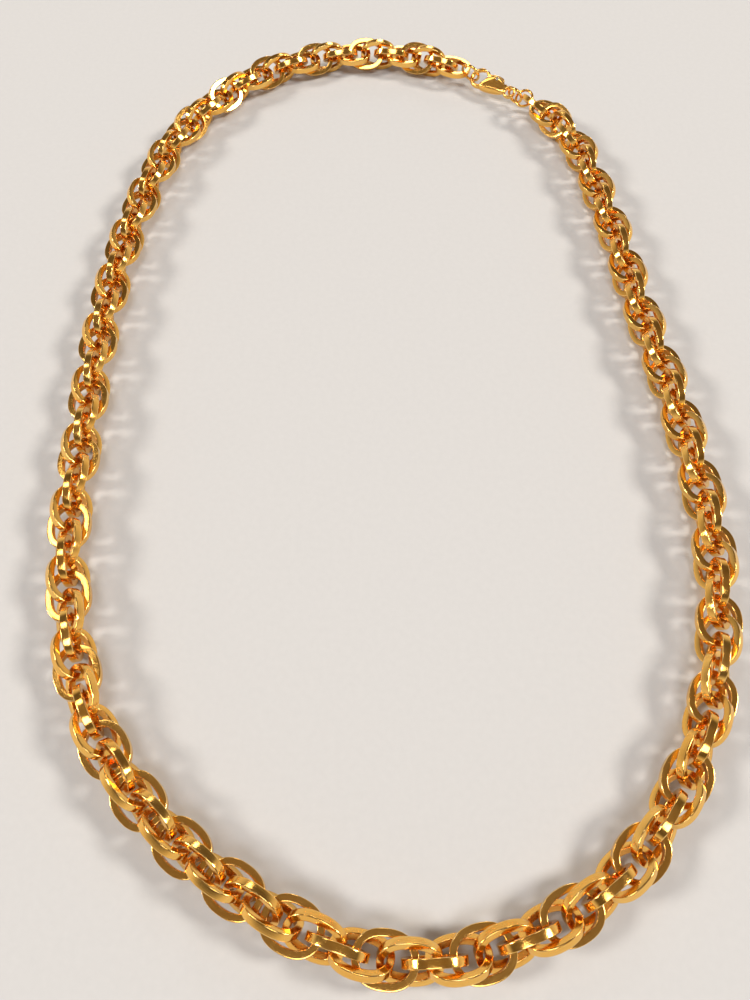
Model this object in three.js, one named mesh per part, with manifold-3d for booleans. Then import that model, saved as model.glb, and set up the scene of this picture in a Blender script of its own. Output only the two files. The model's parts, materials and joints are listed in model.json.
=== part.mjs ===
// A rope-link chain necklace with a lobster clasp, closed and laid out in an oval loop.
// Millimetres, +Z up. The origin is under the middle of the necklace's box, on the surface it lies on.
import * as THREE from 'three';
import { mergeVertices } from 'three/addons/utils/BufferGeometryUtils.js';
import Module from 'manifold-3d';

const wasm = await Module();
wasm.setup();

// ---- Driving dimensions ----
const LINK_LENGTH = 9;
const LINK_WIDTH = 7.2;
const WIRE_ACROSS = 1.05; // the wire's width on the link's flat face
const WIRE_THROUGH = 1.25; // the wire's width seen from the link's edge
const LINK_SIDES = 12;
const OVAL_POWER = 2.3; // 2 is an ellipse, and more is squarer
const RIGHT_PITCH = 3.26; // so each link passes through the two before it and the two after it
const LEFT_PITCH = 3.2875; // a little slacker, to make up for the tight stretch
const LINK_TWIST = THREE.MathUtils.degToRad(45); // each link is turned this far from the last one
// On the left of the front the rope is wound tighter, between these two links.
const TIGHT = { from: -2, to: -14, pitch: 3.1, twist: THREE.MathUtils.degToRad(60) };
const LINKS_IN_SET = 3;
const RIGHT_SETS = 22;
const LEFT_SETS = 27;
const FRONT_PLACE = -9.78; // the front set's middle link, along the loop from its first point
const TIE_WIDTH = 0.5; // the short bar that holds neighbouring links of one set together
const TIE_REACH = 1.63; // how far along each link the bar starts
const AXIS_HEIGHT = LINK_WIDTH / 2;

// The loop's centre line, anticlockwise from the middle of the front.
const LOOP = [
  [3, -99.4], [29.8, -91.2], [47.9, -69.7], [55.4, -42.5], [55.3, -14.1], [52.1, 14.2],
  [49.3, 42.5], [43.1, 70], [23.9, 90.6], [-2.6, 99.38], [-29.4, 91], [-46.8, 69.1],
  [-53.9, 41.6], [-56, 13.3], [-55.2, -15.1], [-52.8, -43.4], [-43.4, -70], [-23, -89.6],
];
const LOOP_STEPS = 4000;

const HOOK_PLACE = 226.1; // hook centre, measured along the loop from the front
const CLASP_TILT = THREE.MathUtils.degToRad(25); // the clasp's face leans towards the front
const CLASP_DROP = 0.4; // how far the clasp hangs below the chain's centre line
const HOOK_INNER = 1.7;
const HOOK_OUTER = 2.7;
const HOOK_THICKNESS = 1.3;
const BODY_THICKNESS = 2.2;
const TAIL_THICKNESS = 1.1;
const TAIL_EYE = { x: 8.75, radius: 0.95, wall: 0.65 };
const MOUTH_FROM = THREE.MathUtils.degToRad(25);
const MOUTH_TO = THREE.MathUtils.degToRad(74);
const SLOT_WIDTH = 1.3;
const LEVER_THICKNESS = 0.8;
const PIVOT = { x: 4.4, y: 1.2, hole: 0.52, pin: 0.36 };

const LEFT_RING = { radius: 2.3, wire: 0.33, offset: 0.9, lean: 0.35 };
const JUMP_RING = { radius: 1.8, wire: 0.35, lean: 0.2 };
const RIGHT_RING = { radius: 2, wire: 0.3, offset: 0.3, lean: 1.05 };

const GOLD = 0xe6b04a;
const STEEL = 0x9a9a9e;

// ---- Solids ----
function toSolid(geometry) {
  const bare = geometry.clone();
  bare.deleteAttribute('normal');
  bare.deleteAttribute('uv');
  const merged = mergeVertices(bare, 1e-5);
  return new wasm.Manifold(new wasm.Mesh({
    numProp: 3,
    vertProperties: new Float32Array(merged.attributes.position.array),
    triVerts: new Uint32Array(merged.index.array),
  }));
}

function toGeometry(solid) {
  const mesh = solid.getMesh();
  const geometry = new THREE.BufferGeometry();
  geometry.setAttribute('position', new THREE.BufferAttribute(mesh.vertProperties, 3));
  geometry.setIndex(new THREE.BufferAttribute(mesh.triVerts, 1));
  geometry.computeVertexNormals();
  return geometry;
}

function join(geometries) {
  return toGeometry(geometries.map(toSolid).reduce((whole, piece) => whole.add(piece)));
}

function cut(geometry, tools) {
  return toGeometry(tools.map(toSolid).reduce((left, tool) => left.subtract(tool), toSolid(geometry)));
}

function plate(shape, thickness) {
  const geometry = new THREE.ExtrudeGeometry(shape, { depth: thickness, bevelEnabled: false });
  return geometry.translate(0, 0, -thickness / 2);
}

function outline(points) {
  return new THREE.Shape(points.map(([x, y]) => new THREE.Vector2(x, y)));
}

function arc(radius, from, to, steps) {
  const points = [];
  for (let i = 0; i <= steps; i += 1) {
    const angle = from + (to - from) * i / steps;
    points.push([radius * Math.cos(angle), radius * Math.sin(angle)]);
  }
  return points;
}

// ---- One link: a flat oval of near-square wire ----
// Draws a point of a circle out towards its corners, one coordinate at a time.
function squarer(value) {
  return Math.sign(value) * Math.abs(value) ** (2 / OVAL_POWER);
}

function ovalPoints(length, width) {
  const step = 2 * Math.PI / LINK_SIDES;
  const grow = 1 / squarer(Math.cos(step / 2));
  const points = [];
  for (let i = 0; i < LINK_SIDES; i += 1) {
    const angle = (i + 0.5) * step;
    const x = grow * length / 2 * squarer(Math.cos(angle));
    const y = grow * width / 2 * squarer(Math.sin(angle));
    points.push([x, y]);
  }
  return points;
}

function linkGeometry() {
  const oval = outline(ovalPoints(LINK_LENGTH, LINK_WIDTH));
  oval.holes.push(outline(ovalPoints(LINK_LENGTH - 2 * WIRE_ACROSS, LINK_WIDTH - 2 * WIRE_ACROSS)));
  return plate(oval, WIRE_THROUGH);
}

// ---- Places along the loop ----
const loop = new THREE.CatmullRomCurve3(
  LOOP.map(([x, y]) => new THREE.Vector3(x, y, AXIS_HEIGHT)), true);
loop.arcLengthDivisions = LOOP_STEPS;
const loopLength = loop.getLength();

// The frame at a distance along the loop: X along the chain, Y at the roll angle, Z across both.
function frameAt(distance, roll) {
  const u = (distance / loopLength + 1) % 1;
  const along = loop.getTangentAt(u).normalize();
  const up = new THREE.Vector3(0, 0, 1);
  const side = new THREE.Vector3().crossVectors(up, along);
  const width = side.multiplyScalar(Math.cos(roll)).addScaledVector(up, Math.sin(roll));
  const face = new THREE.Vector3().crossVectors(along, width);
  return new THREE.Matrix4().makeBasis(along, width, face).setPosition(loop.getPointAt(u));
}

// Steps from one link to the next are counted from link 0, and some on the left are tight ones.
function tightSteps(index) {
  return THREE.MathUtils.clamp(TIGHT.from - index, 0, TIGHT.from - TIGHT.to);
}

function placeOf(index) {
  const tight = tightSteps(index);
  const pitch = index > 0 ? RIGHT_PITCH : LEFT_PITCH;
  return FRONT_PLACE + (index + tight) * pitch - tight * TIGHT.pitch;
}

function rollOf(index) {
  const tight = tightSteps(index);
  return Math.PI / 2 + (index + tight) * LINK_TWIST - tight * TIGHT.twist;
}

// Link 0 stands on edge near the middle of the front.
function linkFrame(index) {
  return frameAt(placeOf(index), rollOf(index));
}

// ---- A set: three neighbouring links, tied to one another by short bars ----
const link = linkGeometry();
const sideBar = new THREE.Vector3(0, (LINK_WIDTH - WIRE_ACROSS) / 2, 0);

function tieBetween(index) {
  const start = sideBar.clone().setX(TIE_REACH).applyMatrix4(linkFrame(index));
  const end = sideBar.clone().setX(-TIE_REACH).applyMatrix4(linkFrame(index + 1));
  const length = start.distanceTo(end) + TIE_WIDTH / 2;
  const bar = new THREE.CylinderGeometry(TIE_WIDTH / 2, TIE_WIDTH / 2, length, 3);
  const along = end.clone().sub(start).normalize();
  const turn = new THREE.Quaternion().setFromUnitVectors(new THREE.Vector3(0, 1, 0), along);
  return bar.applyQuaternion(turn).translate(...start.add(end).multiplyScalar(0.5).toArray());
}

function linkSet(name, middle) {
  const home = linkFrame(middle);
  const toHome = home.clone().invert();
  const pieces = [];
  for (let index = middle - 1; index <= middle + 1; index += 1) {
    pieces.push(link.clone().applyMatrix4(linkFrame(index)));
    if (index > middle - 1) {
      pieces.push(tieBetween(index - 1));
    }
  }
  const mesh = named(name, join(pieces.map((piece) => piece.applyMatrix4(toHome))), GOLD);
  mesh.applyMatrix4(home);
  return mesh;
}

function named(name, geometry, color) {
  const roughness = color === GOLD ? 0.12 : 0.3;
  const material = new THREE.MeshStandardMaterial({ color, roughness, metalness: 1 });
  const mesh = new THREE.Mesh(geometry, material);
  mesh.name = name;
  return mesh;
}

// ---- Lobster clasp, in its own frame: hook centre at 0, tail along +X, face along +Z ----
function claspBody() {
  const hook = outline(arc(HOOK_OUTER, 0, 2 * Math.PI * 23 / 24, 23));
  const eye = { x: TAIL_EYE.x, radius: TAIL_EYE.radius + TAIL_EYE.wall };
  const tail = arc(eye.radius, -Math.PI / 2, Math.PI / 2, 6).map(([x, y]) => [x + eye.x, y]);
  const block = outline([
    [1.2, -2.35], [3, -2.3], [6.2, -1.7], ...tail, [6.4, 2.1], [4.4, 2.5], [1.2, 2.35],
  ]);
  const solid = join([plate(hook, HOOK_THICKNESS), plate(block, BODY_THICKNESS)]);
  const mouth = outline([
    ...arc(HOOK_INNER - 0.3, MOUTH_FROM, MOUTH_TO, 3),
    ...arc(HOOK_OUTER + 0.9, MOUTH_TO, MOUTH_FROM, 3),
  ]);
  const slot = outline([[1, -1.3], [2.6, -1.3], [3.6, 0], [6.9, 0], [6.9, 3.4], [1, 3.4]]);
  const thinning = (BODY_THICKNESS - TAIL_THICKNESS) / 2;
  const shave = new THREE.BoxGeometry(4, 5, thinning);
  const shaveAt = (BODY_THICKNESS + TAIL_THICKNESS) / 4;
  return cut(solid, [
    plate(outline(arc(HOOK_INNER, 0, 2 * Math.PI * 23 / 24, 23)), 4),
    plate(mouth, 4),
    plate(slot, SLOT_WIDTH),
    shave.clone().translate(9.2, 0, shaveAt),
    shave.clone().translate(9.2, 0, -shaveAt),
    roundBar(TAIL_EYE.radius, 4, 12).translate(TAIL_EYE.x, 0, 0),
    roundBar(PIVOT.hole, 4, 10).translate(PIVOT.x, PIVOT.y, 0),
  ]);
}

function roundBar(radius, length, sides) {
  return new THREE.CylinderGeometry(radius, radius, length, sides).rotateX(Math.PI / 2);
}

function claspLever() {
  const tip = MOUTH_TO - 0.14;
  const arm = outline([
    ...arc(HOOK_INNER + 0.1, 0.55, tip, 4),
    ...arc(HOOK_OUTER - 0.05, tip, 0.75, 4),
    [3.2, 2.1], [4.6, 2.35], [5.6, 3], [6.7, 3.1], [6.6, 2.5], [5.6, 1.3], [4.8, 0.55], [3.6, 0.5],
    [2.4, 0.75],
  ]);
  return cut(plate(arm, LEVER_THICKNESS), [roundBar(PIVOT.hole, 4, 10).translate(PIVOT.x, PIVOT.y, 0)]);
}

function claspSpring() {
  const leaf = outline([
    [4.5, 0.15], [6.6, 0.15], [6.75, 0.4], [6.55, 1.3], [6.35, 1.3], [6.45, 0.35], [4.5, 0.35],
  ]);
  return plate(leaf, LEVER_THICKNESS - 0.1);
}

function ring({ radius, wire }) {
  return new THREE.TorusGeometry(radius, wire, 6, 14);
}

// ---- Assembly ----
const group = new THREE.Group();
group.add(linkSet('front_links', 0));
for (let i = 1; i <= RIGHT_SETS; i += 1) {
  group.add(linkSet(`right_links_${String(i).padStart(2, '0')}`, i * LINKS_IN_SET));
}
for (let i = 1; i <= LEFT_SETS; i += 1) {
  group.add(linkSet(`left_links_${String(i).padStart(2, '0')}`, -i * LINKS_IN_SET));
}

// The clasp lies along the loop with its tail towards the right-hand chain.
const hookPoint = loop.getPointAt(HOOK_PLACE / loopLength);
const rightEnd = linkFrame(RIGHT_SETS * LINKS_IN_SET + 1);
const rightBar = new THREE.Vector3((LINK_LENGTH - WIRE_ACROSS) / 2, 0, 0).applyMatrix4(rightEnd);
const claspLine = level(hookPoint, rightBar);
const claspYaw = Math.atan2(claspLine.y, claspLine.x);
const clasp = new THREE.Group();
clasp.position.copy(hookPoint);
clasp.position.z -= CLASP_DROP;
clasp.rotation.set(CLASP_TILT, 0, claspYaw, 'ZYX');
const pin = named('clasp_lever_pin', roundBar(PIVOT.pin, BODY_THICKNESS + 0.3, 8), STEEL);
pin.position.set(PIVOT.x, PIVOT.y, 0);
clasp.add(named('clasp_body', claspBody(), GOLD));
clasp.add(named('clasp_lever', claspLever(), GOLD));
clasp.add(pin);
clasp.add(named('clasp_spring', claspSpring(), STEEL));
group.add(clasp);

// Rings: each one's plane holds the chain's direction and is turned about it by the given lean.
function placeRing(name, size, middle, along) {
  const mesh = named(name, ring(size), GOLD);
  const across = new THREE.Vector3(0, 0, 1).cross(along).normalize();
  const normal = across.applyAxisAngle(along, size.lean);
  const third = new THREE.Vector3().crossVectors(normal, along);
  mesh.applyMatrix4(new THREE.Matrix4().makeBasis(along, third, normal).setPosition(middle));
  group.add(mesh);
}

function level(from, to) {
  return to.clone().sub(from).setZ(0).normalize();
}

const leftEnd = linkFrame(-LEFT_SETS * LINKS_IN_SET - 1);
const leftBar = new THREE.Vector3(-(LINK_LENGTH - WIRE_ACROSS) / 2, 0, 0).applyMatrix4(leftEnd);
const leftLine = level(leftBar, clasp.position);
const leftMiddle = leftBar.clone().addScaledVector(leftLine, LEFT_RING.offset);
placeRing('left_end_ring', LEFT_RING, leftMiddle, leftLine);

const jumpMiddle = clasp.position.clone().addScaledVector(claspLine, TAIL_EYE.x + JUMP_RING.radius);
placeRing('jump_ring', JUMP_RING, jumpMiddle, claspLine);

const rightLine = level(rightBar, jumpMiddle);
const rightMiddle = rightBar.clone().addScaledVector(rightLine, RIGHT_RING.offset);
placeRing('right_end_ring', RIGHT_RING, rightMiddle, rightLine);

export default group;
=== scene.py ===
# %% [markdown]
# # A rope-link chain necklace
# The necklace is a heavy rope chain of flat oval links, closed by a small lobster clasp and laid
# out in a long loop. The measured model already fixes every place and size, and each joint in it
# says where the chain can fold. So the work here is to load that model as a frame, and to put a
# finely shaped, finely finished piece over each of its plain ones. Starting again from nothing
# would only lose the sizes.

# %% Load the frame
import json
import math
from random import Random

import bmesh
import bpy
import numpy as np
from mathutils import Matrix, Vector

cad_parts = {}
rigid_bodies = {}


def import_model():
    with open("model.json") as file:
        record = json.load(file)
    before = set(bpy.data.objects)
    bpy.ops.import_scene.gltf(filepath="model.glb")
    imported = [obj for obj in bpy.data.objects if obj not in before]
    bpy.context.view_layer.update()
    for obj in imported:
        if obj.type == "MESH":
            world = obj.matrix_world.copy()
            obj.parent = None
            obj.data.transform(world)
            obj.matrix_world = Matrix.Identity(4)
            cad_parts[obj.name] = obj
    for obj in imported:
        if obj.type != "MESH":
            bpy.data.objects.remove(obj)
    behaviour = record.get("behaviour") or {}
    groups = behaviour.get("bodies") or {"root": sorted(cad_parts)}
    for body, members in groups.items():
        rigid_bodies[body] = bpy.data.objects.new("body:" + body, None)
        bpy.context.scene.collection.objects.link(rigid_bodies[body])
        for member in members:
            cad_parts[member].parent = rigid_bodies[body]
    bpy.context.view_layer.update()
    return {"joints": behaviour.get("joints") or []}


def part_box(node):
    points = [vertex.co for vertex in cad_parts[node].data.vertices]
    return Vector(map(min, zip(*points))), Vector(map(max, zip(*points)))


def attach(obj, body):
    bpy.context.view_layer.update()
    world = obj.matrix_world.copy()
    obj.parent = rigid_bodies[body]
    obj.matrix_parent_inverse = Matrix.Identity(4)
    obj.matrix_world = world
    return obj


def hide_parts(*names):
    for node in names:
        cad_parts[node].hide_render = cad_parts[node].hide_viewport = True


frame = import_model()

MM = 0.001
UP = Vector((0, 0, 1))
scene = bpy.context.scene
scene.view_settings.view_transform = "Standard"
joints = {joint["name"]: joint for joint in frame["joints"]}

# %% [markdown]
# ## The camera
# The necklace lies flat, and the viewer stands at its front and looks steeply down at it from
# close by. A short lens at that distance makes the front links look much bigger than those at
# the clasp, and that is the character of the view. A long lens from far away would lose it.

# %% Place the camera
CAMERA_PLACE = Vector((-1.6, -92.5, 119.4)) * MM
CAMERA_DEPRESSION = math.radians(61.8)
CAMERA_LENS = 27.04


def add_camera():
    eye = bpy.data.cameras.new("front_view")
    eye.lens = CAMERA_LENS
    eye.clip_start = 1 * MM
    camera = bpy.data.objects.new("front_view", eye)
    camera.location = CAMERA_PLACE
    camera.rotation_euler = (math.pi / 2 - CAMERA_DEPRESSION, 0, 0)
    scene.collection.objects.link(camera)
    scene.camera = camera


add_camera()
print("camera", tuple(round(x, 4) for x in CAMERA_PLACE), "lens", CAMERA_LENS)

# %% [markdown]
# ## Writing shaders as arithmetic
# A finish is a small sum: this much of one gold, that much of another, a little less where the
# wire is worn. Wiring nodes by hand hides that sum, so one class wraps a socket and lets Python's
# own operators add the nodes. Numbers go through Math nodes, and colours through Mix.

# %% A socket that can be added and multiplied


class Shade:
    """A socket in a material, or the material's own tree while it has no socket."""

    def __init__(self, tree, socket=None):
        self.tree = tree
        self.socket = socket

    def node(self, kind, settings=None, inputs=None, output=0):
        """Adds a node: first its settings, then the values or links of its sockets."""
        made = self.tree.nodes.new(kind)
        for name, value in (settings or {}).items():
            if name == "stops":
                self.set_stops(made.color_ramp, value)
            else:
                setattr(made, name, value)
        for name, value in (inputs or {}).items():
            if isinstance(value, Shade):
                self.tree.links.new(value.socket, made.inputs[name])
            else:
                made.inputs[name].default_value = value
        return Shade(self.tree, made.outputs[output]) if len(made.outputs) else None

    @staticmethod
    def set_stops(ramp, stops):
        while len(ramp.elements) < len(stops):
            ramp.elements.new(1.0)
        for element, (place, value) in zip(ramp.elements, stops):
            element.position = place
            element.color = (value, value, value, 1) if isinstance(value, float) else (*value, 1)

    def math(self, operation, first, second):
        return self.node("ShaderNodeMath", {"operation": operation}, {0: first, 1: second})

    def __add__(self, other):
        return self.math("ADD", self, other)

    def __mul__(self, other):
        return self.math("MULTIPLY", self, other)

    __radd__ = __add__
    __rmul__ = __mul__

    def scaled(self, sizes):
        """Coordinates stretched by a size on each axis."""
        settings = {"operation": "MULTIPLY"}
        return self.node("ShaderNodeVectorMath", settings, {0: self, 1: sizes})

    def noise(self, scale, detail=2.0, roughness=0.5):
        inputs = {"Vector": self, "Scale": scale, "Detail": detail, "Roughness": roughness}
        return self.node("ShaderNodeTexNoise", None, inputs)

    def ramp(self, *stops):
        """Remaps a value through grey stops, each a place and a value."""
        return self.node("ShaderNodeValToRGB", {"stops": stops}, {"Fac": self})

    def mixed(self, first, second):
        """The first colour where this value is 0 and the second where it is 1."""
        settings = {"data_type": "RGBA"}
        return self.node("ShaderNodeMix", settings, {0: self, 6: first, 7: second}, output=2)


print("the shader class is ready")

# %% [markdown]
# ## Mirror-polished gold
# The gold is plated and tumbled to a mirror, so its colour comes from what it reflects: nearly
# white where a lamp shows in it, and deep orange-brown inside the rope, where gold reflects gold.
# A perfectly clean mirror looks false, though. Real wire keeps faint draw lines along its length,
# a soft haze from handling, and a rougher inner face where the polish hardly reaches. That inner
# face, and each crease of the clasp, is also darkened to deep orange-brown: painted shade, in place
# of the gold that gold reflects there. The edges are a little rougher too, and get a painted
# highlight of paler gold in patches. Each of those is one term of the sum, and each comes from the
# mesh or from noise, never from a texture painted by hand, so the same finish serves links, rings
# and clasp.

# %% The gold finish
PALE_GOLD = (1.0, 0.62, 0.17, 1)
WARM_GOLD = (0.94, 0.49, 0.09, 1)
# Painted shade: this deep orange-brown darkens the inner faces of the wire and the clasp's creases.
PAINTED_SHADE_GOLD = (0.60, 0.24, 0.035, 1)
# Painted highlight: this paler gold lightens the edges, in patches.
PAINTED_HIGHLIGHT_GOLD = (1.0, 0.75, 0.36, 1)


def start_material(name):
    material = bpy.data.materials.new(name)
    material.use_nodes = True
    material.node_tree.nodes.clear()
    return material, Shade(material.node_tree)


def finish_surface(tree, inputs, bumps):
    """Adds the surface, with one bump after another given as (height, strength, depth)."""
    normal = None
    for height, strength, depth in bumps:
        sockets = {"Height": height, "Strength": strength, "Distance": depth}
        if normal is not None:
            sockets["Normal"] = normal
        normal = tree.node("ShaderNodeBump", None, sockets)
    surface = tree.node("ShaderNodeBsdfPrincipled", None, {**inputs, "Normal": normal})
    tree.node("ShaderNodeOutputMaterial", None, {"Surface": surface})


def gold_finish(name, haze, line_depth):
    """Polished gold. Haze is its roughness, and line_depth is how deep the draw lines are."""
    material, tree = start_material(name)
    wire = tree.node("ShaderNodeUVMap", {"uv_map": "wire"})
    place = tree.node("ShaderNodeTexCoord", output="Object")
    tone = tree.node("ShaderNodeAttribute", {"attribute_name": "tone"}, output="Fac")
    inner = tree.node("ShaderNodeAttribute", {"attribute_name": "inner"}, output="Fac")
    edge = tree.node("ShaderNodeAttribute", {"attribute_name": "edge"}, output="Fac")

    cloud = place.noise(650.0, 3.0)
    lines = wire.scaled((0.35, 16.0, 1.0)).noise(1.0, 3.0, 0.6)
    rub_and_highlight = wire.scaled((1.6, 3.0, 1.0)).noise(1.0, 4.0).ramp((0.42, 0.0), (0.62, 1.0))
    waves = place.noise(420.0, 1.0)

    gold = (tone * 0.55 + cloud * 0.45).mixed(WARM_GOLD, PALE_GOLD)
    # Painted shade: the inner face is darkened towards deep orange-brown.
    gold = (inner * 0.8).mixed(gold, PAINTED_SHADE_GOLD)
    # Painted highlight: paler gold on the edges where the patch noise allows. The same noise also
    # roughens the gold in patches.
    gold = (edge * rub_and_highlight * 0.6).mixed(gold, PAINTED_HIGHLIGHT_GOLD)
    roughness = haze + 0.07 * cloud + 0.05 * rub_and_highlight + 0.10 * inner + 0.05 * edge
    inputs = {"Base Color": gold, "Roughness": roughness, "Metallic": 1.0}
    bumps = [(waves, 0.25, 0.04 * MM), (lines, 0.5, line_depth)]
    finish_surface(tree, inputs, bumps)
    return material


link_gold = gold_finish("link_gold", 0.07, 0.012 * MM)
ring_gold = gold_finish("ring_gold", 0.09, 0.010 * MM)
clasp_gold = gold_finish("clasp_gold", 0.13, 0.008 * MM)
print("gold:", link_gold.name, ring_gold.name, clasp_gold.name)

# %% [markdown]
# ## Spring steel
# Only the lever's pin and its leaf spring aren't gold. They are plain drawn steel: grey, duller
# than the gold, with fine lines along the leaf.

# %% The steel finish
PALE_STEEL = (0.50, 0.48, 0.45, 1)
DARK_STEEL = (0.30, 0.28, 0.26, 1)


def steel_finish(name):
    material, tree = start_material(name)
    place = tree.node("ShaderNodeTexCoord", output="Object")
    grain = place.scaled((400.0, 5200.0, 2600.0)).noise(1.0, 3.0)
    stain = place.noise(900.0, 3.0)
    inputs = {
        "Base Color": (stain * 0.6).mixed(PALE_STEEL, DARK_STEEL),
        "Roughness": 0.24 + 0.16 * grain,
        "Metallic": 1.0,
    }
    finish_surface(tree, inputs, [(grain, 0.4, 0.01 * MM)])
    return material


spring_steel = steel_finish("spring_steel")
print("steel:", spring_steel.name)

# %% [markdown]
# ## Where each link goes
# The chain's centre line could be drawn again, but the frame already holds it. Each fold joint
# lies on that line, one for every three links, and the two ring joints mark the chain's ends. So
# a smooth curve through the joints is the same line, and every link's place can be read from it
# by its distance along the chain. Each link is turned an eighth of a turn from the last, and that
# turning is what makes plain ovals into a rope. On the left of the front the rope has been wound
# tighter by hand: there the links turn a sixth of a turn each, and sit a little closer.

# %% Read the centre line from the joints
RIGHT_PITCH = 3.26 * MM
LEFT_PITCH = 3.2875 * MM
LINK_TWIST = math.radians(45)
TIGHT_LINKS = (-2, -14)
TIGHT_PITCH = 3.1 * MM
TIGHT_TWIST = math.radians(60)
LINKS_IN_SET = 3
RIGHT_SETS = sum(name.startswith("right_fold") for name in joints)
LEFT_SETS = sum(name.startswith("left_fold") for name in joints)
END_REACH = 3.975 * MM  # from the middle of an end link to the middle of its end bar


def joint_place(name):
    return Vector(joints[name]["pos_m"])


def tight_steps(index):
    """How many of the steps from link 0 to this one are in the tightly wound stretch."""
    first, last = TIGHT_LINKS
    return min(max(first - index, 0), first - last)


def run_to(index):
    """The distance along the chain from link 0, negative on the left."""
    tight = tight_steps(index)
    return (index + tight) * (RIGHT_PITCH if index > 0 else LEFT_PITCH) - tight * TIGHT_PITCH


def turn_of(index):
    """A link's turn about the chain. Link 0 stands on its edge."""
    tight = tight_steps(index)
    return math.pi / 2 + (index + tight) * LINK_TWIST - tight * TIGHT_TWIST


def line_knots():
    """(distance, place) along the chain, counted from the front link."""
    knots = []
    for side, sets, sign in (("right", RIGHT_SETS, 1), ("left", LEFT_SETS, -1)):
        for number in range(1, sets + 1):
            distance = run_to(sign * (number * LINKS_IN_SET - 1.5))
            knots.append((distance, joint_place(f"{side}_fold_{number:02d}")))
        end = run_to(sign * (sets * LINKS_IN_SET + 1)) + sign * END_REACH
        knots.append((end, joint_place(f"{side}_ring_swing")))
    return sorted(knots, key=lambda knot: knot[0])


knots = line_knots()
print(len(knots), "knots, chain from", knots[0][0], "to", knots[-1][0], "m")

# %% Follow the line between the knots


def knot_slopes():
    """The line's direction at each knot, from the knots on both sides of it."""
    places = [place for _, place in knots]
    gaps = [after[0] - before[0] for before, after in zip(knots, knots[1:])]
    chords = [(b - a) / gap for a, b, gap in zip(places, places[1:], gaps)]
    slopes = []
    for before, after, gap, next_gap in zip(chords, chords[1:], gaps, gaps[1:]):
        slopes.append((before * next_gap + after * gap) / (gap + next_gap))
    return [2 * chords[0] - slopes[0], *slopes, 2 * chords[-1] - slopes[-1]]


slopes = knot_slopes()
starts = [knot[0] for knot in knots]


def line_at(distance):
    """The place on the chain's line at a distance, and the line's direction there."""
    i = int(np.clip(np.searchsorted(starts, distance) - 1, 0, len(knots) - 2))
    gap = starts[i + 1] - starts[i]
    t = (distance - starts[i]) / gap
    a, b = knots[i][1], knots[i + 1][1]
    m, n = slopes[i] * gap, slopes[i + 1] * gap
    place = (
        a * (2 * t**3 - 3 * t**2 + 1) + m * (t**3 - 2 * t**2 + t)
        + b * (3 * t**2 - 2 * t**3) + n * (t**3 - t**2)
    )
    along = (a - b) * (6 * t**2 - 6 * t) + m * (3 * t**2 - 4 * t + 1) + n * (3 * t**2 - 2 * t)
    return place, along.normalized()


def basis(along, across, face, place):
    matrix = Matrix((along, across, face)).transposed().to_4x4()
    matrix.translation = place
    return matrix


def link_frame(index):
    """A link's own axes: X along the chain, Y across the link, Z out of its flat face."""
    place, along = line_at(run_to(index))
    turn = turn_of(index)
    side = UP.cross(along)
    across = side * math.cos(turn) + UP * math.sin(turn)
    return basis(along, across, along.cross(across), place)


print("front link at", tuple(round(x, 5) for x in link_frame(0).translation))

# %% [markdown]
# ## One link
# A link is a flat oval bent from nearly square wire, with crisp edges that tumbling has just
# rounded. A torus would be wrong, because its round wire has no flat faces to flash and no edges
# to glint. A curve with a bevel could do it, but then the wire's faces, edges and inner side
# can't be told apart in the finish. So the wire is skinned in code: a section with four rounded
# corners and faintly crowned faces is carried round an oval, and each point is marked with how
# far it is along the wire, how near an edge, and how far inside.

# %% Skin a wire along a path


def corner_section(across, through, corner, crown):
    """A square wire's outline, as (outward, through, edge) points. Edge is 1 on a corner."""
    points = []
    for quarter in range(4):
        u, v = ((across, through), (through, across))[quarter % 2]
        turn = quarter * math.pi / 2
        near = v / 2 - 1.7 * corner
        local = [(u / 2 + crown, 0.0, 0.0), (u / 2 + crown * 0.3, near, 0.2)]
        for step in range(3):
            angle = step * math.pi / 4
            x = u / 2 - corner + corner * math.cos(angle)
            y = v / 2 - corner + corner * math.sin(angle)
            local.append((x, y, (0.8, 1.0, 0.8)[step]))
        local.append((u / 2 - 1.7 * corner, v / 2 + crown * 0.3, 0.2))
        for x, y, edge in local:
            points.append((
                x * math.cos(turn) - y * math.sin(turn),
                x * math.sin(turn) + y * math.cos(turn),
                edge,
            ))
    return points


def round_section(across, through, steps=12):
    """An oval wire's outline, in the same form."""
    turns = [2 * math.pi * i / steps for i in range(steps)]
    return [(across / 2 * math.cos(a), through / 2 * math.sin(a), 0.0) for a in turns]


def skin(path, section, closed=True):
    """Points, faces, wire coordinates and marks for a wire. Path rows are a place, an outward
    direction, a through direction and a size."""
    ring = len(section)
    loop = section + section[:1]
    around = np.concatenate([[0], np.cumsum([
        math.dist(a[:2], b[:2]) for a, b in zip(loop, loop[1:])])])
    nodes = path + path[:1] if closed else path
    steps = [(b[0] - a[0]).length for a, b in zip(nodes, nodes[1:])]
    run = np.concatenate([[0], np.cumsum(steps)])
    points, edge, inner = [], [], []
    for place, out, through, size in path:
        for x, y, mark in section:
            points.append(place + out * (x * size) + through * (y * size))
            # The edge mark is where the gold finish paints a highlight.
            edge.append(mark)
            # The inner mark is where the gold finish paints shade.
            inner.append(max(0.0, -x / max(p[0] for p in section)) ** 3)
    faces, wire = [], []
    for i in range(len(nodes) - 1):
        here, there = i * ring, ((i + 1) % len(path)) * ring
        for j in range(ring):
            k = (j + 1) % ring
            faces.append((here + j, here + k, there + k, there + j))
            wire += [(run[i], around[j]), (run[i], around[j + 1]),
                     (run[i + 1], around[j + 1]), (run[i + 1], around[j])]
    if not closed:
        for caps in (range(ring - 1, -1, -1), range(len(points) - ring, len(points))):
            faces.append(tuple(caps))
            wire += [(0.0, around[j % ring]) for j in caps]
    return {"points": points, "faces": faces, "wire": wire, "edge": edge, "inner": inner}


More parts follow.
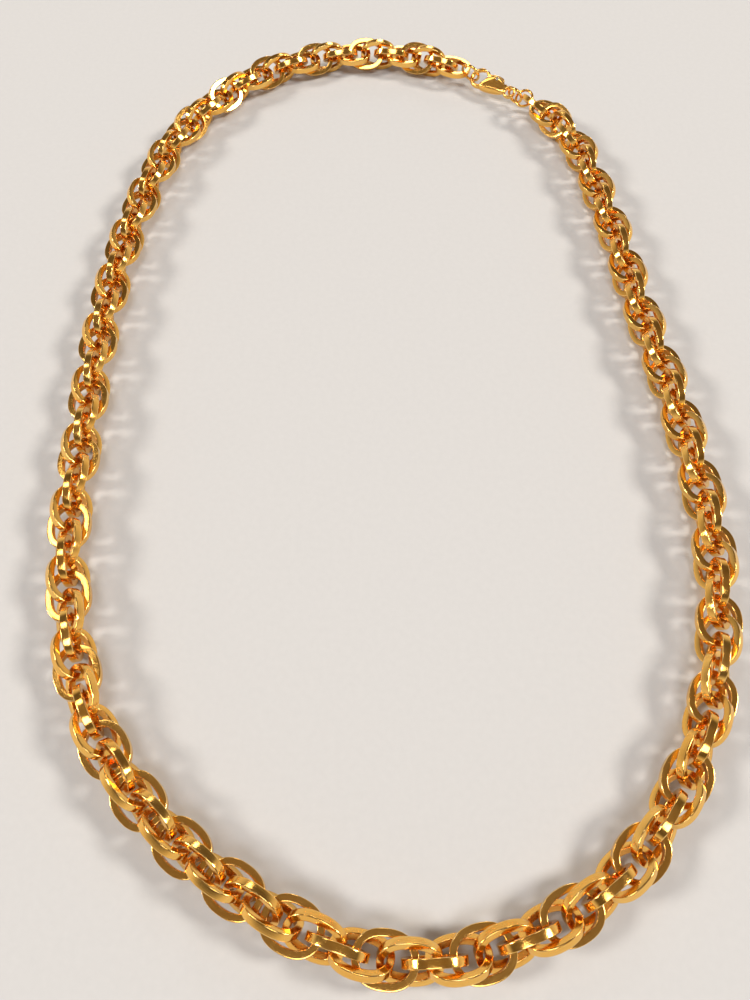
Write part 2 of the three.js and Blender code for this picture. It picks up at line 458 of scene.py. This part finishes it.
print("a link's section has", len(corner_section(1, 1, 0.1, 0.02)), "points")

# %% Bend the wire into one oval
LINK_LENGTH = 9 * MM
LINK_WIDTH = 7.2 * MM
WIRE_ACROSS = 1.05 * MM
WIRE_THROUGH = 1.25 * MM
WIRE_CORNER = 0.11 * MM
WIRE_CROWN = 0.012 * MM
OVAL_POWER = 2.3  # 2 is an ellipse, and more is squarer
OVAL_STEPS = 64


def oval_path():
    """The middle of the wire, with its outward direction."""
    half = (LINK_LENGTH - WIRE_ACROSS) / 2, (LINK_WIDTH - WIRE_ACROSS) / 2
    path = []
    for step in range(OVAL_STEPS):
        angle = 2 * math.pi * step / OVAL_STEPS
        c, s = math.cos(angle), math.sin(angle)
        x = math.copysign(abs(c) ** (2 / OVAL_POWER), c) * half[0]
        y = math.copysign(abs(s) ** (2 / OVAL_POWER), s) * half[1]
        out = Vector((
            math.copysign(abs(x / half[0]) ** (OVAL_POWER - 1), x) / half[0],
            math.copysign(abs(y / half[1]) ** (OVAL_POWER - 1), y) / half[1],
            0,
        )).normalized()
        path.append((Vector((x, y, 0)), out, UP, 1.0))
    return path


link = skin(oval_path(), corner_section(WIRE_ACROSS, WIRE_THROUGH, WIRE_CORNER, WIRE_CROWN))
print("one link:", len(link["points"]), "points,", len(link["faces"]), "faces")

# %% [markdown]
# ## The whole rope
# Every link is the same, so each set of three is made from one link's mesh, placed three times.
# The links of a set ride on that set's body, and so the rope folds where the frame folds. No two
# real links are quite alike. Each gets its own shade of gold, and lies a hair off its true turn.

# %% Turn a skin into a piece
chance = Random(31)
LINK_PLAY = 1.5  # degrees that a link may lie off its true turn


def build_mesh(name, parts):
    """One mesh from several (skin, matrix, tone) parts."""
    points, faces, wire, marks = [], [], [], {"edge": [], "inner": [], "tone": []}
    for number, (part, matrix, tone) in enumerate(parts):
        first = len(points)
        points += [matrix @ point for point in part["points"]]
        faces += [tuple(first + i for i in face) for face in part["faces"]]
        shift = 11.3 * number + 37.0 * tone
        wire += [((u / MM) + shift, (v / MM) + shift) for u, v in part["wire"]]
        marks["edge"] += part["edge"]
        marks["inner"] += part["inner"]
        marks["tone"] += [tone] * len(part["points"])
    mesh = bpy.data.meshes.new(name)
    mesh.from_pydata(points, [], faces)
    layer = mesh.uv_layers.new(name="wire")
    layer.data.foreach_set("uv", np.array(wire, np.float32).ravel())
    for mark, values in marks.items():
        mesh.attributes.new(mark, "FLOAT", "POINT").data.foreach_set("value", values)
    face_outwards(mesh)
    return mesh


def face_outwards(mesh):
    work = bmesh.new()
    work.from_mesh(mesh)
    bmesh.ops.recalc_face_normals(work, faces=work.faces)
    work.to_mesh(mesh)
    work.free()
    mesh.shade_smooth()


def add_piece(name, mesh, home, body, material):
    """A finished piece of the given name, riding on a body. Its caller hides the CAD node it stands
    for.
    """
    mesh.transform(home.inverted())
    mesh.materials.append(material)
    piece = bpy.data.objects.new(name, mesh)
    piece.matrix_world = home
    scene.collection.objects.link(piece)
    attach(piece, body)
    return piece


def add_links(name, body, middle):
    parts = []
    for index in range(middle - 1, middle + 2):
        roll = Matrix.Rotation(math.radians(chance.uniform(-LINK_PLAY, LINK_PLAY)), 4, "X")
        parts.append((link, link_frame(index) @ roll, chance.random()))
    mesh = build_mesh(name, parts)
    piece = add_piece(name, mesh, link_frame(middle), body, link_gold)
    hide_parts(body)


add_links("rope_front", "front_links", 0)
for number in range(1, RIGHT_SETS + 1):
    add_links(f"rope_right_{number:02d}", f"right_links_{number:02d}", number * LINKS_IN_SET)
for number in range(1, LEFT_SETS + 1):
    add_links(f"rope_left_{number:02d}", f"left_links_{number:02d}", -number * LINKS_IN_SET)
print("links:", LINKS_IN_SET * (1 + RIGHT_SETS + LEFT_SETS))

# %% [markdown]
# ## The clasp's own frame
# The clasp is easier to shape flat, with its hook at the origin and its tail along X, and then to
# put in its place. Its lever turns about an axis that stands straight out of its face, so that
# joint gives the clasp's tilt, and the joint at its tail gives its place.

# %% Read the clasp's frame from its joints
TAIL_PLAY = 8.95 * MM  # from the hook's middle to where the jump ring bears in the tail


def clasp_frame():
    face = Vector(joints["clasp_lever_open"]["axis"]).normalized()
    along = UP.cross(face).normalized()
    tail = joint_place("clasp_swing")
    return basis(along, face.cross(along), face, tail - along * TAIL_PLAY)


clasp_home = clasp_frame()
print("clasp at", tuple(round(x, 5) for x in clasp_home.translation))

# %% [markdown]
# ## Three wire rings
# A ring joins each end of the rope to the clasp: a soldered ring in the hook, a jump ring in the
# clasp's tail, and a soldered ring on the rope's other end. They are round wire, so a torus would
# nearly do, but the jump ring has to show the cut where it was opened, and the finish needs its
# wire coordinates. The same skin as the links gives both.

# %% Make the rings
RING_STEPS = 56
LEFT_RING = (2.3 * MM, 0.33 * MM)  # radius to the middle of the wire, and the wire's radius
JUMP_RING = (1.8 * MM, 0.35 * MM)
RIGHT_RING = (2.0 * MM, 0.30 * MM)
LEFT_LEAN, JUMP_LEAN, RIGHT_LEAN = 0.35, 0.2, 1.05
JUMP_CUT = 0.1
JUMP_CUT_TURN = math.radians(70)


def ring_skin(radius, wire, cut=0.0):
    """A wire ring about Z. A cut, in radians, leaves it open at +X."""
    count = RING_STEPS + 1 if cut else RING_STEPS
    path = []
    for step in range(count):
        angle = cut / 2 + (2 * math.pi - cut) * step / RING_STEPS
        out = Vector((math.cos(angle), math.sin(angle), 0))
        path.append((out * radius, out, UP, 1.0))
    return skin(path, round_section(2 * wire, 2 * wire), closed=not cut)


def ring_home(node, start, towards, lean):
    """A ring's plane holds the line between two places and leans about it."""
    along = (towards - start)
    along.z = 0
    along.normalize()
    normal = Matrix.Rotation(lean, 3, along) @ UP.cross(along)
    low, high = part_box(node)
    return basis(along, normal.cross(along), normal, (low + high) / 2)


def add_ring(name, node, home, part):
    mesh = build_mesh(name, [(part, home, chance.random())])
    piece = add_piece(name, mesh, home, node, ring_gold)
    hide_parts(node)
    return home.translation


hook_middle = clasp_home.translation
left_home = ring_home("left_end_ring", joint_place("left_ring_swing"), hook_middle, LEFT_LEAN)
add_ring("ring_left_end", "left_end_ring", left_home, ring_skin(*LEFT_RING))
tail_way = clasp_home.to_3x3() @ Vector((1, 0, 0))
jump_home = ring_home("jump_ring", hook_middle, hook_middle + tail_way, JUMP_LEAN)
jump_home = jump_home @ Matrix.Rotation(JUMP_CUT_TURN, 4, "Z")
jump_middle = add_ring("ring_jump", "jump_ring", jump_home, ring_skin(*JUMP_RING, JUMP_CUT))
right_home = ring_home("right_end_ring", joint_place("right_ring_swing"), jump_middle, RIGHT_LEAN)
add_ring("ring_right_end", "right_end_ring", right_home, ring_skin(*RIGHT_RING))
print("jump ring at", tuple(round(x, 5) for x in jump_middle))

# %% [markdown]
# ## The clasp's body
# The body is one casting: a hook that tapers to its tip, a domed block with a slot for the lever,
# and a flat eye at the tail. Each of those alone is easy, and it's the soft joins between them
# that say cast metal. Joining them with booleans leaves hard creases. So the rough shapes are
# fused in a fine voxel remesh, cut, fused again and smoothed, the way a casting is filed and
# tumbled. It all happens in millimetres, because a remesh can't go finer than a tenth of one unit.

# %% Helpers for rough solids, in millimetres


def mesh_of(points, faces, name="rough"):
    mesh = bpy.data.meshes.new(name)
    mesh.from_pydata(points, [], faces)
    face_outwards(mesh)
    return mesh


def prism(outline, thickness):
    """A flat-sided solid on an outline, for cutting."""
    count = len(outline)
    points = [(x, y, z) for z in (-thickness / 2, thickness / 2) for x, y in outline]
    faces = [tuple(range(count)), tuple(range(count, 2 * count))]
    faces += [(i, (i + 1) % count, count + (i + 1) % count, count + i) for i in range(count)]
    return mesh_of(points, faces)


def arc(radius, start, stop, steps, middle=(0, 0)):
    """Points on an arc, with its angles in degrees."""
    turns = [math.radians(start + (stop - start) * i / steps) for i in range(steps + 1)]
    return [(middle[0] + radius * math.cos(a), middle[1] + radius * math.sin(a)) for a in turns]


def disc(radius, middle, steps=48):
    return arc(radius, 0, 360 * (steps - 1) / steps, steps - 1, middle)


def tube(path, section, closed=True):
    made = skin(path, section, closed)
    return mesh_of(made["points"], made["faces"])


def pebble(outline, half_height, edge, layers=8):
    """A domed solid: outlines stacked through its thickness, and drawn in towards both faces."""
    flat = [Vector(point) for point in outline]
    count = len(flat)
    inwards = []
    for i, point in enumerate(flat):
        chord = flat[(i + 1) % count] - flat[i - 1]
        inwards.append(Vector((-chord.y, chord.x)).normalized())
    points, faces = [], []
    for layer in range(layers + 1):
        t = math.sin(math.pi * (layer / layers - 0.5))
        inset = edge * (1 - math.sqrt(max(0.0, 1 - t * t)))
        for point, inward in zip(flat, inwards):
            moved = point + inward * inset
            points.append((moved.x, moved.y, t * half_height(moved.x)))
    for layer in range(layers):
        for i in range(count):
            a, b = layer * count + i, layer * count + (i + 1) % count
            faces.append((a, b, b + count, a + count))
    faces += [tuple(range(count)), tuple(range(layers * count, (layers + 1) * count))]
    return mesh_of(points, faces)


def smoothed_outline(points, rounds=3):
    """Cuts each corner of an outline again and again, so that it bends smoothly."""
    for _ in range(rounds):
        cut = []
        for (ax, ay), (bx, by) in zip(points, points[1:] + points[:1]):
            cut += [(0.75 * ax + 0.25 * bx, 0.75 * ay + 0.25 * by),
                    (0.25 * ax + 0.75 * bx, 0.25 * ay + 0.75 * by)]
        points = cut
    return points


print("rough solids: prism, tube and pebble")

# %% Fuse, cut and smooth rough solids


def evaluated(work):
    """The mesh that an object's modifiers make. The object is removed."""
    graph = bpy.context.evaluated_depsgraph_get()
    mesh = bpy.data.meshes.new_from_object(work.evaluated_get(graph))
    bpy.data.objects.remove(work)
    return mesh


def workpiece(mesh):
    work = bpy.data.objects.new("work", mesh)
    scene.collection.objects.link(work)
    return work


def joined(meshes):
    whole = bmesh.new()
    for mesh in meshes:
        whole.from_mesh(mesh)
    mesh = bpy.data.meshes.new("joined")
    whole.to_mesh(mesh)
    whole.free()
    return mesh


def fused(mesh, voxel, passes):
    work = workpiece(mesh)
    remesh = work.modifiers.new("fuse", "REMESH")
    remesh.mode = "VOXEL"
    remesh.voxel_size = voxel
    soften = work.modifiers.new("soften", "SMOOTH")
    soften.factor = 0.5
    soften.iterations = passes
    return evaluated(work)


def without(mesh, tools):
    """The mesh with each tool cut from it."""
    for tool in tools:
        work, cutter = workpiece(mesh), workpiece(tool)
        cut = work.modifiers.new("cut", "BOOLEAN")
        cut.operation = "DIFFERENCE"
        cut.solver = "EXACT"
        cut.object = cutter
        mesh = evaluated(work)
        bpy.data.objects.remove(cutter)
    return mesh


print("fuse, cut and smooth are ready")

# %% Cast the clasp's body
HOOK_RADIUS = 2.2
HOOK_INNER = 1.7
HOOK_WIRE = 1.0
HOOK_THICKNESS = 1.3
MOUTH = (25, 74)  # degrees from the tail's direction
PIVOT = (4.4, 1.2)
TAIL_EYE = (8.75, 0)
SLOT_WIDTH = 1.3
PIN_HOLE = 0.42
BODY_VOXEL = 0.075


def hook_path():
    path = []
    for step in range(49):
        turn = math.radians(MOUTH[1] + 3 + (322 - MOUTH[1]) * step / 48)
        out = Vector((math.cos(turn), math.sin(turn), 0))
        tip = min(1.0, 0.35 + 0.65 * math.sqrt(min(1.0, step / 4)))
        taper = 0.82 + 0.18 * min(1.0, step / 24)
        path.append((out * HOOK_RADIUS, out, UP, tip * taper))
    return path


def body_height(x):
    """Half the block's thickness: full at the lever, and thinned towards the eye."""
    t = min(1.0, max(0.0, (x - 5.2) / 2.4))
    return 1.1 - 0.5 * t * t * (3 - 2 * t)


def eye_path():
    path = []
    for step in range(40):
        turn = 2 * math.pi * step / 40
        out = Vector((math.cos(turn), math.sin(turn), 0))
        path.append((Vector((*TAIL_EYE, 0)) + out * 1.28, out, UP, 1.0))
    return path


def clasp_body():
    block = smoothed_outline([
        (0.6, -2.6), (3.2, -2.5), (6.2, -1.75), (7.9, -1.0), (7.9, 1.0),
        (6.6, 1.6), (4.9, 2.2), (3.3, 2.1), (2.0, 1.1), (0.9, 0),
    ])
    solids = [
        tube(hook_path(), round_section(HOOK_WIRE, HOOK_THICKNESS, 20), closed=False),
        pebble(block, body_height, 0.75),
        tube(eye_path(), round_section(0.66, 1.1, 16)),
    ]
    mouth = arc(HOOK_INNER - 0.4, *MOUTH, 6) + arc(HOOK_RADIUS + 1.4, *MOUTH[::-1], 6)
    slot = [(1, -1.3), (2.6, -1.3), (3.6, 0), (6.9, 0), (6.9, 3.4), (1, 3.4)]
    tools = [
        prism(disc(HOOK_INNER, (0, 0)), 4),
        prism(mouth, 4),
        prism(slot, SLOT_WIDTH),
        prism(disc(0.95, TAIL_EYE), 4),
        prism(disc(PIN_HOLE, PIVOT), 4),
    ]
    rough = fused(joined(solids), BODY_VOXEL, 2)
    return fused(without(rough, tools), BODY_VOXEL, 6)


body_mesh = clasp_body()
print("clasp body:", len(body_mesh.polygons), "faces")

# %% Mark and place the clasp's pieces


def mark_casting(mesh, edge_gain):
    """Gives a casting the marks and wire coordinates that the gold finish reads."""
    layer = mesh.uv_layers.new(name="wire")
    for polygon in mesh.polygons:
        for corner in polygon.loop_indices:
            point = mesh.vertices[mesh.loops[corner].vertex_index].co
            layer.data[corner].uv = (point.x, point.y + 1.7 * point.z)
    work = bmesh.new()
    work.from_mesh(mesh)
    work.normal_update()
    bend = []
    for vertex in work.verts:
        turns = [edge.calc_face_angle_signed(0.0) for edge in vertex.link_edges]
        bend.append(sum(turns) / max(1, len(turns)))
    work.free()
    # Convex bends get the edge mark, which the gold finish paints as a highlight, and concave
    # creases get the inner mark, which it paints as shade.
    edge = [min(1.0, max(0.0, edge_gain * value)) for value in bend]
    inner = [min(1.0, max(0.0, -edge_gain * value)) for value in bend]
    for mark, values in (("edge", edge), ("inner", inner), ("tone", [0.5] * len(bend))):
        mesh.attributes.new(mark, "FLOAT", "POINT").data.foreach_set("value", values)


def add_clasp_piece(name, mesh, node, body, material, edge_gain=6.0):
    mark_casting(mesh, edge_gain)
    mesh.transform(clasp_home @ Matrix.Scale(MM, 4))
    mesh.shade_smooth()
    piece = add_piece(name, mesh, clasp_home, body, material)
    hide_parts(node)


add_clasp_piece("clasp_cast_body", body_mesh, "clasp_body", "clasp", clasp_gold)
print("clasp body placed")

# %% [markdown]
# ## The lever, its spring and its pin
# The lever is a flat stamping with tumbled edges. It closes the hook's mouth from inside the slot
# and leaves a small tab for a fingernail. A 2-D curve with a bevel makes just such a stamping: an
# outline, a thickness and a rounded edge all round. The leaf spring is made the same way, and the
# pin is turned, with a low dome at each end.

# %% Stamp the lever and the spring
LEVER_THICKNESS = 0.8
SPRING_THICKNESS = 0.6


def stamping(outline, thickness, edge, holes=()):
    """A flat plate with rounded edges, from one outline and its holes."""
    curve = bpy.data.curves.new("stamping", "CURVE")
    curve.dimensions = "2D"
    curve.fill_mode = "BOTH"
    curve.extrude = thickness / 2 - edge
    curve.bevel_depth = edge
    curve.bevel_resolution = 3
    curve.offset = -edge
    for points in (outline, *holes):
        spline = curve.splines.new("POLY")
        spline.points.add(len(points) - 1)
        spline.use_cyclic_u = True
        for point, (x, y) in zip(spline.points, points):
            point.co = (x, y, 0, 1)
    mesh = evaluated(workpiece(curve))
    work = bmesh.new()
    work.from_mesh(mesh)
    bmesh.ops.remove_doubles(work, verts=work.verts, dist=0.001)
    work.to_mesh(mesh)
    work.free()
    face_outwards(mesh)
    return mesh


def lever_outline():
    tip = MOUTH[1] - 4
    arm = arc(HOOK_INNER + 0.1, 31.5, tip, 8) + arc(2.6, tip, 43, 8)
    back = [(3.2, 2.25), (4.4, 2.4), (5.2, 2.35), (5.7, 2.2), (6.0, 1.95), (5.9, 1.6),
            (5.6, 1.35), (4.9, 0.62), (4.2, 0.42), (3.5, 0.5), (2.4, 0.78)]
    return smoothed_outline(arm + back, 2)


spring_outline = [(4.5, 0.15), (6.6, 0.15), (6.75, 0.4), (6.55, 1.3), (6.35, 1.3),
                  (6.45, 0.35), (4.5, 0.35)]
lever = stamping(lever_outline(), LEVER_THICKNESS, 0.14, [disc(PIN_HOLE, PIVOT, 24)])
spring = stamping(spring_outline, SPRING_THICKNESS, 0.04)
lever_body = "clasp_lever"
add_clasp_piece("clasp_lever_arm", lever, lever_body, lever_body, clasp_gold, 1.5)
add_clasp_piece("clasp_leaf_spring", spring, "clasp_spring", "clasp", spring_steel)
print("lever:", len(lever.polygons), "faces, spring:", len(spring.polygons), "faces")

# %% Turn the pin
PIN_PROFILE = [(0.0, 1.16), (0.2, 1.14), (0.34, 1.08), (0.38, 1.0),
               (0.38, -1.0), (0.34, -1.08), (0.2, -1.14), (0.0, -1.16)]


def turned(profile, middle, steps=24):
    """A lathe-turned solid about Z, from (radius, height) points that start and end on the axis."""
    points = [(*middle, profile[0][1])]
    faces = []
    for radius, height in profile[1:-1]:
        points += [(x, y, height) for x, y in disc(radius, middle, steps)]
    points.append((*middle, profile[-1][1]))
    last = len(points) - 1
    rows = len(profile) - 2
    for i in range(steps):
        j = (i + 1) % steps
        faces.append((0, 1 + i, 1 + j))
        faces.append((last, last - steps + j, last - steps + i))
        for row in range(rows - 1):
            a, b = 1 + row * steps + i, 1 + row * steps + j
            faces.append((a, a + steps, b + steps, b))
    return mesh_of(points, faces)


pin = turned(PIN_PROFILE, PIVOT)
add_clasp_piece("clasp_rivet_pin", pin, "clasp_lever_pin", "clasp", spring_steel)
print("pin:", len(pin.polygons), "faces")

# %% [markdown]
# ## The floor and the light
# Polished gold is a picture of the room, so the light is most of the finish. Two warm lamps stand
# low on either side and flash in the links' sides. A wide soft one in front gives the faces their
# body, and two faint narrow ones glint in the links that lie flat. Hard lamps alone would leave
# the gold black with white dots. Every lamp is distant, so the pale floor is lit evenly as far as
# it goes. The air is bright at the horizon and dark above, so that the mirror faces have
# something dark to set the bright ones off.

# %% Lay the floor
FLOOR_SIZE = 1.6
FLOOR_STEPS = 48


def add_floor():
    points = [(x, y, 0.0) for x, y in disc(FLOOR_SIZE, (0, 0), FLOOR_STEPS)]
    mesh = mesh_of(points, [tuple(range(FLOOR_STEPS))], "floor")
    material, tree = start_material("pale_floor")
    grain = tree.node("ShaderNodeTexCoord", output="Object").noise(900.0, 3.0)
    tint = (grain * 0.5).mixed((0.55, 0.58, 0.64, 1), (0.48, 0.51, 0.57, 1))
    finish_surface(tree, {"Base Color": tint, "Roughness": 0.8}, [(grain, 0.15, 0.05 * MM)])
    mesh.materials.append(material)
    floor = bpy.data.objects.new("pale_floor", mesh)
    scene.collection.objects.link(floor)


add_floor()
print("floor radius", FLOOR_SIZE, "m")

# %% Hang the lamps


def add_lamp(name, towards, spread, strength, colour):
    """A distant soft lamp. Spread is how many degrees wide it looks."""
    light = bpy.data.lights.new(name, "SUN")
    light.angle = math.radians(spread)
    light.energy = strength
    light.color = colour
    lamp = bpy.data.objects.new(name, light)
    lamp.rotation_euler = (-Vector(towards)).to_track_quat("-Z", "Y").to_euler()
    scene.collection.objects.link(lamp)


def add_sky():
    world = bpy.data.worlds.new("studio_air")
    world.use_nodes = True
    world.node_tree.nodes.clear()
    tree = Shade(world.node_tree)
    place = tree.node("ShaderNodeTexCoord", output="Generated")
    height = tree.node("ShaderNodeSeparateXYZ", None, {0: place}, output="Z")
    colour = height.ramp((0.0, (0.84, 0.79, 0.73)), (0.26, (0.68, 0.61, 0.53)),
                         (0.5, (0.12, 0.10, 0.08)), (0.75, (0.13, 0.10, 0.07)),
                         (1.0, (0.24, 0.18, 0.13)))
    air = tree.node("ShaderNodeBackground", None, {"Color": colour, "Strength": 1.0})
    tree.node("ShaderNodeOutputWorld", None, {"Surface": air})
    scene.world = world


add_lamp("warm_lamp_right", (0.42, 0.03, 0.33), 13, 2.4, (1.0, 0.88, 0.72))
add_lamp("warm_lamp_left", (-0.42, -0.02, 0.30), 13, 2.0, (1.0, 0.88, 0.72))
add_lamp("soft_lamp_front", (0.0, -0.30, 0.62), 26, 1.0, (1.0, 0.97, 0.93))
add_lamp("glint_lamp_left", (-0.50, 0.50, 1.15), 10, 0.2, (1.0, 0.93, 0.82))
add_lamp("glint_lamp_back", (0.06, 0.95, 0.58), 10, 0.2, (1.0, 0.93, 0.82))
add_sky()
